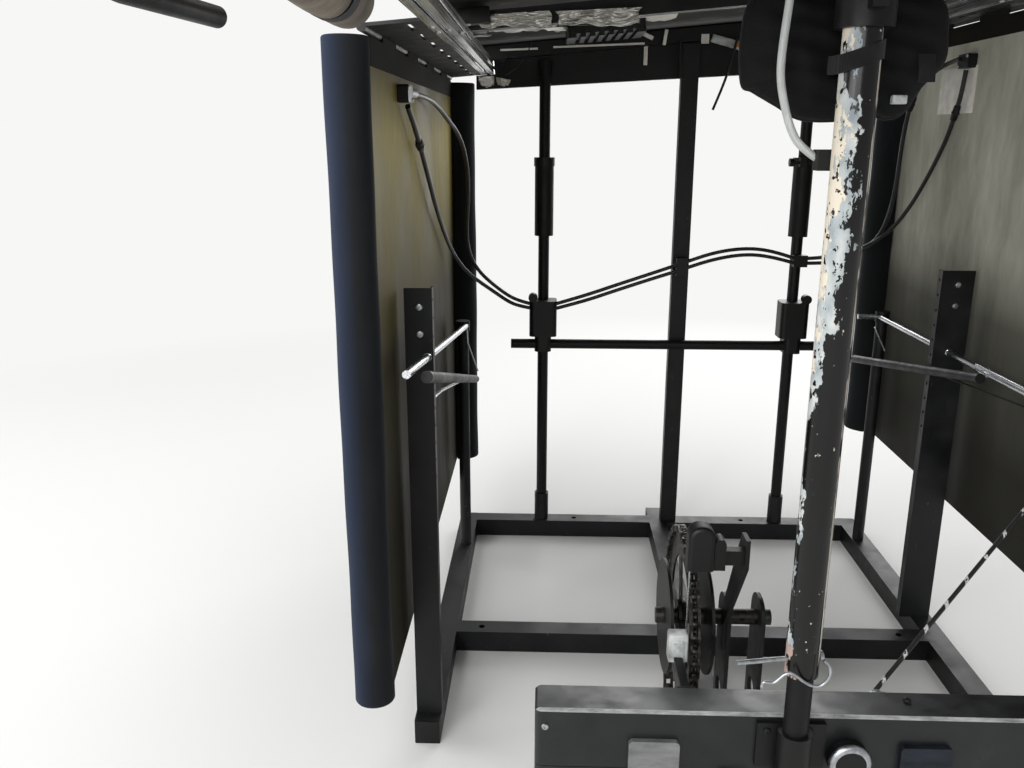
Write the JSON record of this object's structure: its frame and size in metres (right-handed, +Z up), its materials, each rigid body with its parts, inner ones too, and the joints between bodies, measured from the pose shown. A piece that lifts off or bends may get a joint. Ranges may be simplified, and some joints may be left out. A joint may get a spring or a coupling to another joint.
{
  "type": "solar canopy cabin of a velomobile",
  "caption": "Upright cabin frame of a velomobile: solar roof on a mast and posts, hinged side walls, mast case and chain relay shaft.",
  "frame": {"origin": "under the mast's axis, on the underside of the base frame", "axes": "+Z up, +Y to the vehicle's rear, +X to the right when looking rearwards"},
  "size_m": [0.8232, 1.22, 0.9034],
  "materials": {
    "painted_steel": "black gloss paint, chipped to primer",
    "black_tube": "satin black",
    "zinc_steel": "zinc plated",
    "bare_aluminium": "bare extruded",
    "black_aluminium": "black anodised",
    "chipped_mast": "black gloss paint over pale primer, chipped",
    "pale_foam": "beige closed-cell foam",
    "stile_tube": "dull tube inside the foam",
    "solar_laminate": "textured laminate over dark cells",
    "wall_sheet": "semi-gloss olive grey back sheet",
    "pipe_foam": "matte closed-cell foam",
    "black_plastic": "moulded",
    "bright_rod": "bright drawn",
    "case_shell": "satin moulded",
    "chain_steel": "oiled dark steel",
    "pouch_fabric": "woven, soft",
    "cable_rubber": "matte",
    "hose_plastic": "translucent light grey"
  },
  "bodies": {
    "root": {"base_crosses": "painted_steel", "base_sides": "painted_steel", "base_spine": "painted_steel", "case_clamp": "black_plastic", "case_hood": "case_shell", "case_knob": "black_plastic", "centre_post": "painted_steel", "chain_guide": "black_plastic", "clevis_pin": "zinc_steel", "controller_box": "black_plastic", "corner_struts": "painted_steel", "cross_tube": "black_tube", "front_stays": "black_tube", "head_pouch": "pouch_fabric", "hinge_strips": "black_aluminium", "hose_clip": "black_plastic", "lead_left_a": "cable_rubber", "lead_left_b": "cable_rubber", "lead_rear_a": "cable_rubber", "lead_rear_b": "cable_rubber", "lead_right_a": "cable_rubber", "lead_right_b": "cable_rubber", "lead_ties": "black_plastic", "mast_hose": "hose_plastic", "mast_inner": "black_tube", "mast_outer": "chipped_mast", "post_clamps": "black_plastic", "post_sleeves": "black_tube", "post_tubes": "black_tube", "rail_caps": "black_plastic", "rear_valance": "black_aluminium", "relay_chain": "chain_steel", "relay_plates": "black_aluminium", "roof_bars": "black_aluminium", "roof_pivot": "black_tube", "roof_rails": "bare_aluminium", "roof_rolls": "pale_foam", "side_rods": "bright_rod", "solar_frame": "black_aluminium", "solar_panel": "solar_laminate", "tube_heads": "black_tube", "tube_sockets": "painted_steel", "uprights": "painted_steel", "wall_braces": "black_tube"},
    "case_tray": {"case_latches": "zinc_steel", "case_tray": "case_shell"},
    "wall_left": {"junction_box_left": "black_plastic", "wall_foams_left": "pipe_foam", "wall_leaf_left": "black_aluminium", "wall_panel_left": "wall_sheet", "wall_stiles_left": "stile_tube"},
    "wall_right": {"junction_box_right": "black_plastic", "wall_foams_right": "pipe_foam", "wall_leaf_right": "black_aluminium", "wall_panel_right": "wall_sheet", "wall_stiles_right": "stile_tube"},
    "relay_ring": {"relay_guard": "black_plastic", "relay_ring": "chain_steel"},
    "relay_sprocket": {"relay_sprocket": "chain_steel"}
  },
  "joints": [
    {"name": "wall_left_hinge", "type": "hinge", "parent": "root", "child": "wall_left", "pos_m": [-0.36274, 0.5325, 0.7877], "axis": [0, 1, 0], "range_deg": [0, 85]},
    {"name": "wall_right_hinge", "type": "hinge", "parent": "root", "child": "wall_right", "pos_m": [0.36274, 0.5325, 0.8483], "axis": [0, -1, 0], "range_deg": [0, 85]},
    {"name": "case_tray_hinge", "type": "hinge", "parent": "root", "child": "case_tray", "pos_m": [0, 0.064, 0.188], "axis": [1, 0, 0], "range_deg": [0, 75]},
    {"name": "relay_ring_spin", "type": "hinge", "parent": "root", "child": "relay_ring", "pos_m": [0, 0.205, 0.222], "axis": [1, 0, 0], "continuous": true},
    {"name": "relay_sprocket_spin", "type": "hinge", "parent": "root", "child": "relay_sprocket", "pos_m": [0, 0.205, 0.05113], "axis": [1, 0, 0], "continuous": true}
  ],
  "couplings": [
    {"joint": "relay_sprocket_spin", "follows": "relay_ring_spin", "ratio": 2.2}
  ]
}
